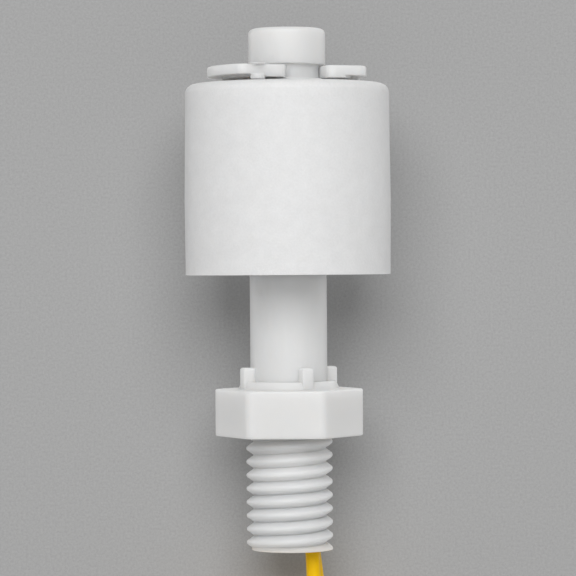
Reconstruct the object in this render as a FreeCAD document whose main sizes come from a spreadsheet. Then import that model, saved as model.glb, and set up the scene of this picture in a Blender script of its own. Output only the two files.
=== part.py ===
import FreeCAD, Part
import math
import os
import re
import Sketcher
from FreeCAD import Rotation, Vector

# A small vertical float level switch. A moulded stem carries a hexagon and a thread at its lower end and a
# snap-on clip near its closed top. A hollow float with a ring magnet slides on the stem, and the magnet works
# a reed switch that is potted inside the stem. Two insulated leads leave the open end of the thread.
#
# Millimetres. The origin is the centre of the hexagon's underside, which is the sealing face, and +Z runs
# along the stem towards the float. Angles are in degrees, anticlockwise from +X seen from above.

SIZES = {
    # stem
    "stem_dia": 8.6,
    "stem_cap_height": 4.07,
    "stem_edge_radius": 0.6,
    "clip_seat_width": 1.55,
    "clip_seat_dia": 7.5,
    "clip_seat_edge_radius": 0.15,
    # hexagon and the collar on it
    "hex_across_flats": 14.56,
    "hex_height": 5.25,
    "hex_corner_radius": 1.0,
    "hex_edge_radius": 0.2,
    "hex_angle": -2.9,
    "seal_relief_dia": 10.0,
    "seal_relief_depth": 0.3,
    "collar_base_dia": 11.4,
    "collar_top_dia": 10.5,
    "collar_height": 0.85,
    # the lugs that the float comes down on
    "lug_width": 1.25,
    "lug_reach_dia": 11.2,
    "lug_height": 1.58,
    "lug_edge_radius": 0.25,
    "lug_angle": 22.6,
    "lug_count": 4,
    # thread
    "thread_length": 12.7,
    "thread_crest_dia": 9.65,
    "thread_root_dia": 8.1,
    "thread_pitch": 1.5,
    "thread_crest_radius": 0.3,
    "thread_root_width": 0.08,
    "thread_start_height": 0.86,
    "thread_end_dia": 8.5,
    "thread_end_width": 0.45,
    # the stem's bore: narrow round the reed switch, wide round the leads
    "reed_bore_dia": 5.2,
    "reed_bore_end": 2.5,
    "lead_bore_dia": 7.0,
    "lead_bore_depth": 8.5,
    "bore_chamfer": 0.2,
    # clip
    "clip_dia": 17.8,
    "clip_thickness": 1.35,
    "clip_hub_dia": 14.4,
    "clip_hub_height": 0.27,
    "clip_clearance": 0.05,
    "clip_float_clearance": 0.25,
    "clip_gap": 4.75,
    "clip_gap_offset": 0.6,
    "clip_flat_distance": 5.2,
    "clip_jaw_radius": 0.8,
    "clip_corner_radius": 1.2,
    "clip_edge_radius": 0.15,
    "clip_angle": 290.0,
    "clip_foot_dia": 1.6,
    "clip_foot_circle_dia": 14.8,
    "clip_foot_height": 0.3,
    "clip_foot_angle": 74.5,
    "clip_foot_count": 3,
    "clip_mark_height": 0.12,
    # float
    "float_rest_height": 18.0,
    "float_height": 21.25,
    "float_base_dia": 22.9,
    "float_swell": 0.07,
    "float_waist_height": 8.2,
    "float_taper": 0.075,
    "float_top_radius": 1.0,
    "float_bore_dia": 9.5,
    "float_bore_chamfer": 0.3,
    "float_wall": 1.2,
    "float_tube_wall": 0.9,
    "end_cap_thickness": 1.3,
    "end_cap_lip_height": 1.2,
    "end_cap_lip_width": 1.0,
    # magnet, trapped between the end cap and a shoulder on the float's tube
    "magnet_rim_clearance": 0.5,
    "magnet_height": 4.5,
    "magnet_clearance": 0.08,
    "magnet_play": 0.12,
    "magnet_chamfer": 0.3,
    "magnet_shoulder_width": 0.7,
    # reed switch
    "glass_dia": 2.2,
    "glass_length": 14.0,
    "glass_wall": 0.35,
    "glass_seal_length": 1.9,
    "glass_end_radius": 0.5,
    "reed_wire_dia": 0.5,
    "reed_wire_length": 4.0,
    "reed_bend_height": 1.2,
    "blade_width": 0.9,
    "blade_thickness": 0.2,
    "blade_overlap": 1.4,
    "blade_gap": 0.1,
    "return_sleeve_wall": 0.2,
    "return_sleeve_length": 16.5,
    # leads and how they are joined to the reed switch
    "lead_dia": 1.6,
    "lead_spacing": 2.1,
    "joint_length": 2.4,
    "shrink_wall": 0.18,
    "shrink_overlap": 1.5,
    "potting_recess": 0.5,
    "potting_cover": 1.6,
    "conductor_dia": 0.76,
    "conductor_bare_length": 5.0,
    # the put-away length of the leads, and its tie
    "hank_across": -3.4,
    "hank_down": 41.0,
    "hank_bend_distance": 10.8,
    "hank_bend_dia": 14.7,
    "hank_waist_width": 6.9,
    "hank_thickness": 6.8,
    "hank_run_inset": 0.9,
    "hank_grip": 0.7,
    "tie_width": 2.5,
    "tie_thickness": 0.9,
    "tie_head_size": 3.4,
    "tie_head_reach": 2.6,
}

# Heights and radii that follow from the sizes, as expressions.
HEX_CORNER = "hex_across_flats / sqrt(3)"
COLLAR_TOP = "(hex_height + collar_height)"
CLIP_SEAT = "(float_rest_height + float_height + clip_float_clearance + clip_foot_height)"
CLIP_SEAT_TOP = f"({CLIP_SEAT} + clip_seat_width)"
STEM_TOP = f"({CLIP_SEAT_TOP} + stem_cap_height)"
BORE_TOP = f"({STEM_TOP} - reed_bore_end)"
LEAD_BORE_TOP = "(lead_bore_depth - thread_length)"
BORE_STEP = "(lead_bore_dia / 2 - reed_bore_dia / 2)"
TUBE_RADIUS = "(float_bore_dia / 2 + float_tube_wall)"
WAIST_RADIUS = "(float_base_dia / 2 + float_swell)"
TOP_RADIUS = "(float_base_dia / 2 - float_taper)"
CAP_RADIUS = "(float_base_dia / 2 - float_wall)"
MAGNET_RADIUS = f"({CAP_RADIUS} - end_cap_lip_width - magnet_rim_clearance)"
MAGNET_FLOOR = "(end_cap_thickness + magnet_play)"
MAGNET_ROOF = "(end_cap_thickness + 2 * magnet_play + magnet_height)"
REED_CENTRE = f"(float_rest_height + {MAGNET_FLOOR} + magnet_height / 2)"
GLASS_LOW = f"({REED_CENTRE} - glass_length / 2)"
GLASS_TOP = f"({REED_CENTRE} + glass_length / 2)"
JOINT_TOP = f"({GLASS_LOW} - reed_wire_length)"
LEAD_TOP = f"({JOINT_TOP} - joint_length)"
POTTING_TOP = f"({GLASS_TOP} + reed_bend_height + lead_spacing / 2 + potting_cover)"
POTTING_LOW = "(potting_recess - thread_length)"
RIDGE_BASE_DEPTH = 0.07  # how far the thread's ridge starts inside its root
CUT_ROOM = 5.0  # how far a cut runs on past the piece that it trims

doc = FreeCAD.newDocument("float_level_switch")
sizes = doc.addObject("Spreadsheet::Sheet", "sizes")
for row, (alias, size) in enumerate(SIZES.items(), start=1):
    sizes.set(f"A{row}", alias)
    sizes.set(f"B{row}", str(size))
    sizes.setAlias(f"B{row}", alias)
doc.recompute()


def bound(text):
    """The expression with the sheet's name before each of its aliases."""
    return re.sub(r"[a-z_]+", lambda word: f"sizes.{word[0]}" if word[0] in SIZES else word[0], str(text))


def number(text):
    """What an expression is worth now."""
    return float(sizes.evalExpression(bound(text)))


def bind(thing, **properties):
    """Tie an object's properties to expressions."""
    for name, text in properties.items():
        thing.setExpression(name, bound(text))


def new_body(label, height="0"):
    """A body with its own label, standing at a height on the stem's axis."""
    body = doc.addObject("PartDesign::Body", label)
    body.Label = label
    body.setExpression("Placement.Base.z", bound(height))
    return body


def origin_part(body, role):
    return next(part for part in body.Origin.OriginFeatures if part.Role == role)


def new_sketch(body, name, role, lift="0"):
    """An empty sketch on one of its own body's origin planes, lifted along the plane's normal."""
    sketch = body.newObject("Sketcher::SketchObject", name)
    sketch.AttachmentSupport = [(origin_part(body, role), "")]
    sketch.MapMode = "FlatFace"
    sketch.setExpression("AttachmentOffset.Base.z", bound(lift))
    return sketch


def place_point(sketch, edge, end, across, up):
    """Fix one end of a sketch's edge by two expressions."""
    for kind, text in (("DistanceX", across), ("DistanceY", up)):
        index = sketch.addConstraint(Sketcher.Constraint(kind, -1, 1, edge, end, number(text)))
        sketch.setExpression(f"Constraints[{index}]", bound(text))


def size_edge(sketch, kind, edge, text):
    """Give a sketch's arc or circle its radius or diameter."""
    index = sketch.addConstraint(Sketcher.Constraint(kind, edge, number(text)))
    sketch.setExpression(f"Constraints[{index}]", bound(text))


def add_outline(sketch, corners):
    """A closed outline of straight edges. A corner is a pair of expressions, across and up."""
    places = [Vector(number(across), number(up), 0) for across, up in corners]
    first = sketch.GeometryCount
    for start, end in zip(places, places[1:] + places[:1]):
        sketch.addGeometry(Part.LineSegment(start, end))
    for index, (across, up) in enumerate(corners):
        after = (index + 1) % len(corners)
        sketch.addConstraint(Sketcher.Constraint("Coincident", first + index, 2, first + after, 1))
        place_point(sketch, first + index, 1, across, up)


def outline(body, name, role, corners, lift="0"):
    sketch = new_sketch(body, name, role, lift)
    add_outline(sketch, corners)
    return sketch


def add_disc(sketch, diameter, across="0", up="0"):
    """A circle in a sketch."""
    centre = Vector(number(across), number(up), 0)
    edge = sketch.addGeometry(Part.Circle(centre, Vector(0, 0, 1), number(diameter) / 2))
    place_point(sketch, edge, 3, across, up)
    size_edge(sketch, "Diameter", edge, diameter)


def disc(body, name, role, diameter, across="0", up="0", lift="0"):
    sketch = new_sketch(body, name, role, lift)
    add_disc(sketch, diameter, across, up)
    return sketch


def turned(body, name, corners, kind="PartDesign::Revolution"):
    """Turn an outline round the body's Z axis; kind is Revolution to add and Groove to cut."""
    sketch = outline(body, name + "Outline", "XZ_Plane", corners)
    feature = body.newObject(kind, name)
    feature.Profile = sketch
    feature.ReferenceAxis = (sketch, ["V_Axis"])
    feature.Angle = 360
    return feature


def raised(body, name, sketch, length, reverse=False, centred=False):
    """Pad a sketch along its normal, against it, or half each way."""
    pad = body.newObject("PartDesign::Pad", name)
    pad.Profile = sketch
    pad.Reversed = reverse
    pad.Midplane = centred
    bind(pad, Length=length)
    return pad


def cut_away(body, name, sketch, length, reverse):
    """Pocket a sketch, and check that it takes material away."""
    doc.recompute()
    before = body.Shape.Volume
    pocket = body.newObject("PartDesign::Pocket", name)
    pocket.Profile = sketch
    pocket.Reversed = reverse
    bind(pocket, Length=length)
    doc.recompute()
    if body.Shape.Volume > before - 1e-3:
        raise RuntimeError(f"{body.Label}: {name} cuts nothing")
    return pocket


def edges_where(body, test):
    """The names of the edges of the body so far, in its own frame, that pass a test."""
    doc.recompute()
    return [f"Edge{index}" for index, edge in enumerate(body.Tip.Shape.Edges, start=1) if test(edge)]


def rounded(body, name, test, radius):
    """Round the edges that pass a test."""
    names = edges_where(body, test)
    base = body.Tip
    fillet = body.newObject("PartDesign::Fillet", name)
    fillet.Base = (base, names)
    bind(fillet, Radius=radius)
    return fillet


def bevelled(body, name, test, size):
    """Chamfer the edges that pass a test."""
    names = edges_where(body, test)
    base = body.Tip
    chamfer = body.newObject("PartDesign::Chamfer", name)
    chamfer.Base = (base, names)
    bind(chamfer, Size=size)
    return chamfer


def repeated(body, name, feature, count):
    """Copies of a feature, evenly spaced round the body's Z axis."""
    pattern = body.newObject("PartDesign::PolarPattern", name)
    pattern.Originals = [feature]
    pattern.Axis = (origin_part(body, "Z_Axis"), [""])
    pattern.Angle = 360
    bind(pattern, Occurrences=count)
    body.Tip = pattern
    return pattern


def is_ring(edge, height, radius):
    """Whether an edge is a circle round the Z axis at that height, with that radius."""
    box = edge.BoundBox
    level = abs(box.ZMin - number(height)) < 1e-4 and abs(box.ZMax - number(height)) < 1e-4
    curve = edge.Curve
    return level and isinstance(curve, Part.Circle) and abs(curve.Radius - number(radius)) < 1e-4


def is_level(edge, height):
    """Whether an edge lies flat at that height."""
    box = edge.BoundBox
    return box.ZLength < 1e-4 and abs(box.ZMin - number(height)) < 1e-4


def is_upright(edge, radius):
    """Whether an edge is a vertical line at that distance from the Z axis."""
    ends = [vertex.Point for vertex in edge.Vertexes]
    far = [math.hypot(point.x, point.y) for point in ends]
    return len(ends) == 2 and abs(ends[0].z - ends[1].z) > 1e-3 and max(
        abs(distance - number(radius)) for distance in far) < 1e-3


# ---- stem: rounded top, clip seat, tube, lugs, collar, hexagon, thread and bores, moulded in one ----
def make_barrel(body):
    """The round outside of the stem from its top to the end of the thread, without the thread's ridge."""
    turned(body, "Barrel", [
        ("0", STEM_TOP),
        ("stem_dia / 2", STEM_TOP),
        ("stem_dia / 2", CLIP_SEAT_TOP),
        ("clip_seat_dia / 2", CLIP_SEAT_TOP),
        ("clip_seat_dia / 2", CLIP_SEAT),
        ("stem_dia / 2", CLIP_SEAT),
        ("stem_dia / 2", COLLAR_TOP),
        ("collar_top_dia / 2", COLLAR_TOP),
        ("collar_base_dia / 2", "hex_height"),
        ("collar_base_dia / 2", "0"),
        ("thread_root_dia / 2", "0"),
        ("thread_root_dia / 2", "thread_end_width - thread_length"),
        ("thread_end_dia / 2", "thread_end_width - thread_length"),
        ("thread_end_dia / 2", "-thread_length"),
        ("0", "-thread_length"),
    ])
    rounded(body, "TopRounding", lambda edge: is_ring(edge, STEM_TOP, "stem_dia / 2"),
            "stem_edge_radius")
    rounded(body, "SeatRounding", lambda edge: is_ring(edge, CLIP_SEAT_TOP, "stem_dia / 2"),
            "clip_seat_edge_radius")


def make_hexagon(body):
    """The hexagon, with rounded corners and softened rims."""
    corners = []
    for corner in range(6):
        angle = f"(hex_angle * 1 deg + {60 * corner} deg)"
        corners.append((f"{HEX_CORNER} * cos({angle})", f"{HEX_CORNER} * sin({angle})"))
    raised(body, "Hexagon", outline(body, "HexagonOutline", "XY_Plane", corners), "hex_height")
    rounded(body, "HexagonCorners", lambda edge: is_upright(edge, HEX_CORNER), "hex_corner_radius")

    def on_rim(edge):
        box = edge.BoundBox
        level = box.ZLength < 1e-4 and min(abs(box.ZMin), abs(box.ZMin - number("hex_height"))) < 1e-4
        outside = min(math.hypot(vertex.X, vertex.Y) for vertex in edge.Vertexes)
        return level and outside > number("hex_across_flats / 2") - 1e-3

    rounded(body, "HexagonRims", on_rim, "hex_edge_radius")


def make_seal_relief(body):
    """The shallow recess round the root of the thread, which lets the hexagon's underside lie flat."""
    turned(body, "SealRelief", [
        ("thread_root_dia / 2", "0"),
        ("seal_relief_dia / 2", "0"),
        ("seal_relief_dia / 2", "seal_relief_depth"),
        ("thread_root_dia / 2", "seal_relief_depth"),
    ], "PartDesign::Groove")


def make_lugs(body):
    """The short upright lugs that stop the float. They stand on the hexagon and stick out of the collar."""
    inner, outer = "stem_dia / 4", "lug_reach_dia / 2"
    sketch = outline(body, "LugOutline", "XY_Plane", [
        (inner, "-lug_width / 2"),
        (outer, "-lug_width / 2"),
        (outer, "lug_width / 2"),
        (inner, "lug_width / 2"),
    ], "hex_height")
    sketch.setExpression("AttachmentOffset.Rotation.Angle", bound("lug_angle * 1 deg"))
    lug = raised(body, "Lug", sketch, "collar_height + lug_height")
    repeated(body, "Lugs", lug, "lug_count")

    def on_lug_top(edge):
        box = edge.BoundBox
        level = box.ZLength < 1e-4 and abs(box.ZMin - number(f"{COLLAR_TOP} + lug_height")) < 1e-4
        return level and isinstance(edge.Curve, Part.Line)

    rounded(body, "LugRounding", on_lug_top, "lug_edge_radius")


def make_thread(body):
    """The thread: a ridge with a rounded crest, swept down a right-hand helix from inside the hexagon."""
    sketch = new_sketch(body, "RidgeOutline", "XZ_Plane")
    crest = "(thread_crest_dia / 2 - thread_crest_radius)"
    root = "thread_root_dia / 2"
    half = "(thread_pitch - thread_root_width) / 2"
    base = f"{root} - {RIDGE_BASE_DEPTH}"
    reach, drop = number(crest) - number(root), number(half)
    slope = math.asin(number("thread_crest_radius") / math.hypot(reach, drop)) - math.atan2(drop, reach)
    lean = Vector(-math.sin(slope), math.cos(slope), 0) * number("thread_crest_radius")
    centre = Vector(number(crest), number("thread_start_height"), 0)
    upper, lower = centre + lean, centre + Vector(lean.x, -lean.y, 0)
    top = centre + Vector(number("thread_crest_radius"), 0, 0)
    corners = [(base, f"thread_start_height + {half}"), (root, f"thread_start_height + {half}"),
               (root, f"thread_start_height - {half}"), (base, f"thread_start_height - {half}")]
    places = [Vector(number(across), number(up), 0) for across, up in corners]
    sketch.addGeometry(Part.LineSegment(places[0], places[1]))
    sketch.addGeometry(Part.LineSegment(places[1], upper))
    sketch.addGeometry(Part.Arc(lower, top, upper))
    sketch.addGeometry(Part.LineSegment(lower, places[2]))
    sketch.addGeometry(Part.LineSegment(places[2], places[3]))
    sketch.addGeometry(Part.LineSegment(places[3], places[0]))
    for constraint in (
        Sketcher.Constraint("Coincident", 0, 2, 1, 1),
        Sketcher.Constraint("Tangent", 1, 2, 2, 2),
        Sketcher.Constraint("Tangent", 2, 1, 3, 1),
        Sketcher.Constraint("Coincident", 3, 2, 4, 1),
        Sketcher.Constraint("Coincident", 4, 2, 5, 1),
        Sketcher.Constraint("Coincident", 5, 2, 0, 1),
    ):
        sketch.addConstraint(constraint)
    place_point(sketch, 0, 1, *corners[0])
    place_point(sketch, 0, 2, *corners[1])
    place_point(sketch, 4, 1, *corners[2])
    place_point(sketch, 4, 2, *corners[3])
    place_point(sketch, 2, 3, crest, "thread_start_height")
    size_edge(sketch, "Radius", 2, "thread_crest_radius")
    ridge = body.newObject("PartDesign::AdditiveHelix", "ThreadRidge")
    ridge.Profile = sketch
    ridge.ReferenceAxis = (sketch, ["V_Axis"])
    ridge.Mode = 0
    ridge.LeftHanded = False
    ridge.Reversed = True
    bind(ridge, Pitch="thread_pitch", Height="thread_length + thread_start_height + thread_pitch / 2")
    doc.recompute()
    trim = disc(body, "EndTrimOutline", "XY_Plane", "2 * thread_crest_dia", lift="-thread_length")
    cut_away(body, "EndTrim", trim, "2 * thread_pitch", reverse=False)


def make_bores(body):
    """The narrow bore for the reed switch and the wide one for the leads, open at the thread's end."""
    turned(body, "Bores", [
        ("0", BORE_TOP),
        (f"reed_bore_dia / 2 - {BORE_STEP}", BORE_TOP),
        ("reed_bore_dia / 2", f"{BORE_TOP} - {BORE_STEP}"),
        ("reed_bore_dia / 2", LEAD_BORE_TOP),
        ("lead_bore_dia / 2", f"{LEAD_BORE_TOP} - {BORE_STEP}"),
        ("lead_bore_dia / 2", "bore_chamfer - thread_length"),
        ("lead_bore_dia / 2 + bore_chamfer", "-thread_length"),
        ("0", "-thread_length"),
    ], "PartDesign::Groove")


def make_stem():
    body = new_body("stem_body")
    make_barrel(body)
    make_hexagon(body)
    make_seal_relief(body)
    make_lugs(body)
    make_thread(body)
    make_bores(body)
    return body


# ---- clip: a flat ring with a mouth, snapped into the stem's groove. Its own +X points out of the mouth ----
def make_clip():
    body = new_body("retaining_clip", CLIP_SEAT)
    body.setExpression("Placement.Rotation.Angle", bound("clip_angle * 1 deg"))
    hole = "clip_seat_dia + 2 * clip_clearance"
    for name, width, low, high in (
        ("Hub", "clip_hub_dia", "0", "clip_hub_height"),
        ("Ring", "clip_dia", "clip_hub_height", "clip_thickness"),
    ):
        ring = disc(body, name + "Outline", "XY_Plane", width, lift=low)
        add_disc(ring, hole)
        raised(body, name, ring, f"{high} - {low}")
    far = f"clip_dia / 2 + {CUT_ROOM}"
    flat = outline(body, "FlatOutline", "XY_Plane", [
        ("clip_flat_distance", "-clip_dia"),
        (far, "-clip_dia"),
        (far, "clip_dia"),
        ("clip_flat_distance", "clip_dia"),
    ], "clip_thickness")
    cut_away(body, "Flat", flat, "clip_thickness", reverse=False)
    sides = ["(clip_gap_offset - clip_gap / 2)", "(clip_gap_offset + clip_gap / 2)"]
    mouth = outline(body, "MouthOutline", "XY_Plane", [
        ("0", sides[0]),
        (far, sides[0]),
        (far, sides[1]),
        ("0", sides[1]),
    ], "clip_thickness")
    cut_away(body, "Mouth", mouth, "clip_thickness", reverse=False)
    jaws = [f"sqrt(clip_flat_distance * clip_flat_distance + {side} * {side})" for side in sides]
    rounded(body, "Jaws", lambda edge: any(is_upright(edge, jaw) for jaw in jaws), "clip_jaw_radius")
    rounded(body, "Corners", lambda edge: is_upright(edge, "clip_dia / 2"), "clip_corner_radius")
    rounded(body, "Rims", lambda edge: is_level(edge, "clip_thickness"), "clip_edge_radius")
    along = "clip_foot_circle_dia / 2 * cos(clip_foot_angle * 1 deg)"
    aside = "clip_foot_circle_dia / 2 * sin(clip_foot_angle * 1 deg)"
    foot = disc(body, "FootOutline", "XY_Plane", "clip_foot_dia", along, aside, "clip_hub_height")
    raised_foot = raised(body, "Foot", foot, "clip_hub_height + clip_foot_height", reverse=True)
    repeated(body, "Feet", raised_foot, "clip_foot_count")
    mark = disc(body, "MarkOutline", "XY_Plane", "clip_foot_dia", along, aside, "clip_thickness")
    raised_mark = raised(body, "Mark", mark, "clip_mark_height")
    repeated(body, "Marks", raised_mark, "clip_foot_count")
    return body


# ---- float: a shell with its tube, an end cap welded into its open end, and the magnet between them ----
def make_float_shell():
    body = new_body("float_shell", "float_rest_height")
    roof = "float_height - float_wall"
    shoulder = f"{TUBE_RADIUS} + magnet_shoulder_width"
    turned(body, "Shell", [
        ("float_bore_dia / 2", "0"),
        (TUBE_RADIUS, "0"),
        (TUBE_RADIUS, MAGNET_ROOF),
        (shoulder, MAGNET_ROOF),
        (shoulder, roof),
        (CAP_RADIUS, roof),
        (CAP_RADIUS, "0"),
        ("float_base_dia / 2", "0"),
        (WAIST_RADIUS, "float_waist_height"),
        (TOP_RADIUS, "float_height"),
        ("float_bore_dia / 2", "float_height"),
    ])
    rounded(body, "TopRounding", lambda edge: is_ring(edge, "float_height", TOP_RADIUS), "float_top_radius")
    bevelled(body, "BoreEntry", lambda edge: is_ring(edge, "float_height", "float_bore_dia / 2"),
             "float_bore_chamfer")
    return body


def make_float_end_cap():
    body = new_body("float_end_cap", "float_rest_height")
    turned(body, "Cap", [
        (TUBE_RADIUS, "0"),
        (CAP_RADIUS, "0"),
        (CAP_RADIUS, "end_cap_thickness + end_cap_lip_height"),
        (f"{CAP_RADIUS} - end_cap_lip_width", "end_cap_thickness + end_cap_lip_height"),
        (f"{CAP_RADIUS} - end_cap_lip_width", "end_cap_thickness"),
        (TUBE_RADIUS, "end_cap_thickness"),
    ])
    return body


def make_magnet():
    body = new_body("ring_magnet", f"float_rest_height + {MAGNET_FLOOR}")
    bore = f"{TUBE_RADIUS} + magnet_clearance"
    turned(body, "Magnet", [
        (bore, "0"),
        (MAGNET_RADIUS, "0"),
        (MAGNET_RADIUS, "magnet_height"),
        (bore, "magnet_height"),
    ])
    bevelled(body, "Rims", lambda edge: isinstance(edge.Curve, Part.Circle), "magnet_chamfer")
    return body


# ---- reed switch: glass, two blades with their wires, and the sleeve on the wire that runs back ----
def make_glass():
    body = new_body("reed_capsule", GLASS_LOW)
    body.setExpression("Placement.Base.y", bound("-lead_spacing / 2"))
    inside = "glass_dia / 2 - glass_wall"
    far = "(glass_length - glass_seal_length)"
    turned(body, "Glass", [
        ("reed_wire_dia / 2", "0"),
        ("glass_dia / 2", "0"),
        ("glass_dia / 2", "glass_length"),
        ("reed_wire_dia / 2", "glass_length"),
        ("reed_wire_dia / 2", far),
        (inside, f"{far} - glass_wall"),
        (inside, "glass_seal_length + glass_wall"),
        ("reed_wire_dia / 2", "glass_seal_length"),
    ])
    rounded(body, "SealedEnds", lambda edge: is_ring(edge, "0", "glass_dia / 2") or is_ring(
        edge, "glass_length", "glass_dia / 2"), "glass_end_radius")
    return body


def add_blade(body, name, side, low, high):
    """The flattened end of a reed wire, inside the glass, on one side of the contact gap."""
    near, far = "blade_gap / 2", "(blade_gap / 2 + blade_thickness)"
    sketch = outline(body, name + "Outline", "XY_Plane", [
        ("-blade_width / 2", f"{side} * {near}"),
        ("blade_width / 2", f"{side} * {near}"),
        ("blade_width / 2", f"{side} * {far}"),
        ("-blade_width / 2", f"{side} * {far}"),
    ], low)
    return raised(body, name, sketch, f"{high} - {low}")


def make_lower_blade():
    """Wire up from the solder joint through the lower seal, then the blade above the seal's cone."""
    body = new_body("reed_blade_lower", JOINT_TOP)
    body.setExpression("Placement.Base.y", bound("-lead_spacing / 2"))
    root = "(reed_wire_length + glass_seal_length + glass_wall)"
    tip = "(reed_wire_length + glass_length / 2 + blade_overlap / 2)"
    wire = disc(body, "WireOutline", "XY_Plane", "reed_wire_dia")
    raised(body, "Wire", wire, f"{root} + reed_wire_dia")
    add_blade(body, "Blade", "-1", root, tip)
    return body


def make_upper_blade():
    """Wire up from the other solder joint past the glass, over in a half circle and down through the upper
    seal, then the blade."""
    body = new_body("reed_blade_upper", JOINT_TOP)
    body.setExpression("Placement.Base.y", bound("-lead_spacing / 2"))
    bend = "(reed_wire_length + glass_length + reed_bend_height)"
    root = "(reed_wire_length + glass_length - glass_seal_length - glass_wall)"
    tip = "(reed_wire_length + glass_length / 2 - blade_overlap / 2)"
    end = f"({root} - reed_wire_dia)"
    path = new_sketch(body, "WirePath", "YZ_Plane")
    apart, top = number("lead_spacing"), number(bend)
    path.addGeometry(Part.LineSegment(Vector(apart, 0, 0), Vector(apart, top, 0)))
    crown = Vector(apart / 2, top + apart / 2, 0)
    path.addGeometry(Part.Arc(Vector(apart, top, 0), crown, Vector(0, top, 0)))
    path.addGeometry(Part.LineSegment(Vector(0, top, 0), Vector(0, number(end), 0)))
    path.addConstraint(Sketcher.Constraint("Tangent", 0, 2, 1, 1))
    path.addConstraint(Sketcher.Constraint("Tangent", 1, 2, 2, 1))
    path.addConstraint(Sketcher.Constraint("Vertical", 2))
    place_point(path, 0, 1, "lead_spacing", "0")
    place_point(path, 0, 2, "lead_spacing", bend)
    place_point(path, 2, 2, "0", end)
    wire = body.newObject("PartDesign::AdditivePipe", "Wire")
    wire.Profile = disc(body, "WireOutline", "XY_Plane", "reed_wire_dia", up="lead_spacing")
    wire.Spine = (path, [])
    add_blade(body, "Blade", "1", tip, root)
    return body


def new_rod(label, diameter, length, height, aside):
    """A round rod along Z, standing off the stem's axis."""
    rod = doc.addObject("Part::Cylinder", label)
    rod.Label = label
    bind(rod, Radius=f"({diameter}) / 2", Height=length)
    rod.setExpression("Placement.Base.y", bound(aside))
    rod.setExpression("Placement.Base.z", bound(height))
    return rod


def new_tube(label, bore, wall, length, height, aside):
    """A sleeve along Z: a rod with a rod of its bore cut out of it."""
    sleeve = doc.addObject("Part::Cut", label)
    sleeve.Label = label
    sleeve.Base = new_rod(label + "_outside", f"{bore} + 2 * {wall}", length, height, aside)
    sleeve.Tool = new_rod(label + "_bore", bore, length, height, aside)
    return sleeve


# ---- leads ----
def route_lengths(points):
    return [start.distanceToPoint(end) for start, end in zip(points, points[1:])]


def route_wire(label, points):
    """Straight runs joined by tangent arcs, each as large as its two runs allow."""
    edges, here, radii = [], points[0], []
    for before, corner, after in zip(points, points[1:], points[2:]):
        into, out = (corner - before).normalize(), (after - corner).normalize()
        turn = into.getAngle(out)
        share = 0.45 * min(route_lengths([before, corner, after]))
        radii.append(share / math.tan(turn / 2))
        start, end = corner - into * share, corner + out * share
        inward = (out - into).normalize()
        middle = corner + inward * (radii[-1] / math.cos(turn / 2) - radii[-1])
        edges += [Part.LineSegment(here, start).toShape(), Part.Arc(start, middle, end).toShape()]
        here = end
    edges.append(Part.LineSegment(here, points[-1]).toShape())
    print(f"{label}: length {sum(edge.Length for edge in edges):.1f}, radii",
          [round(radius, 1) for radius in radii])
    return Part.Wire(edges)


def new_cord(label, points):
    """A round cord swept along its route."""
    path = route_wire(label, points)
    radius = number("lead_dia") / 2
    end = Part.Wire(Part.makeCircle(radius, points[0], points[1] - points[0]))
    tube = path.makePipeShell([end], True, False)
    expected = math.pi * radius**2 * path.Length
    if abs(tube.Volume - expected) > 0.01 * expected:
        raise RuntimeError(f"{label}: volume {tube.Volume:.2f}, expected {expected:.2f}")
    cord = doc.addObject("Part::Feature", label)
    cord.Label = label
    cord.Shape = tube
    return cord


# The routes run from the solder joints down through the wide bore and on down into the hank, and the tails
# run on out of it. The front lead hangs nearly plumb, and the back one swings out to the side of it.
HALF_SPACING = number("lead_spacing / 2")
HANK_SIDE = number("hank_across + hank_bend_dia / 2 - hank_run_inset")
HANK_DROP = number("sqrt(hank_run_inset * hank_bend_dia - hank_run_inset * hank_run_inset)")
HANK_ENTRY = number("hank_bend_distance - hank_down - hank_grip") + HANK_DROP
HANK_EXIT = number("hank_grip - hank_down - hank_bend_distance") - HANK_DROP
LEAD_A_ROUTE = [
    Vector(0, -HALF_SPACING, number(LEAD_TOP)),
    Vector(0, -HALF_SPACING, 1.8),
    Vector(1.25, -0.92, -4.8),
    Vector(2.45, -0.78, -11.2),
    Vector(2.66, -0.8, -17.2),
    Vector(2.86, -0.83, -22.6),
    Vector(HANK_SIDE, -0.83, HANK_ENTRY),
]
LEAD_B_ROUTE = [
    Vector(0, HALF_SPACING, number(LEAD_TOP)),
    Vector(0, HALF_SPACING, 1.8),
    Vector(1.2, 0.95, -4.8),
    Vector(2.3, 0.86, -10.9),
    Vector(2.95, 0.95, -15.6),
    Vector(3.45, 0.95, -20.4),
    Vector(3.35, 0.88, -24.6),
    Vector(HANK_SIDE, 0.83, HANK_ENTRY),
]
TAIL_A_ROUTE = [Vector(HANK_SIDE, -2.45, HANK_EXIT), Vector(2.95, -2.35, -59.0), Vector(2.5, -1.9, -63.4)]
TAIL_B_ROUTE = [Vector(HANK_SIDE, 2.45, HANK_EXIT), Vector(3.25, 2.4, -58.6), Vector(3.9, 2.0, -62.2)]


def new_bare_end(label, route):
    """The stripped conductor that carries on past the end of a tail."""
    along = (route[-1] - route[-2]).normalize()
    tip = doc.addObject("Part::Cylinder", label)
    tip.Label = label
    bind(tip, Radius="conductor_dia / 2", Height="conductor_bare_length")
    tip.Placement = FreeCAD.Placement(route[-1], Rotation(Vector(0, 0, 1), along))
    return tip


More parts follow.
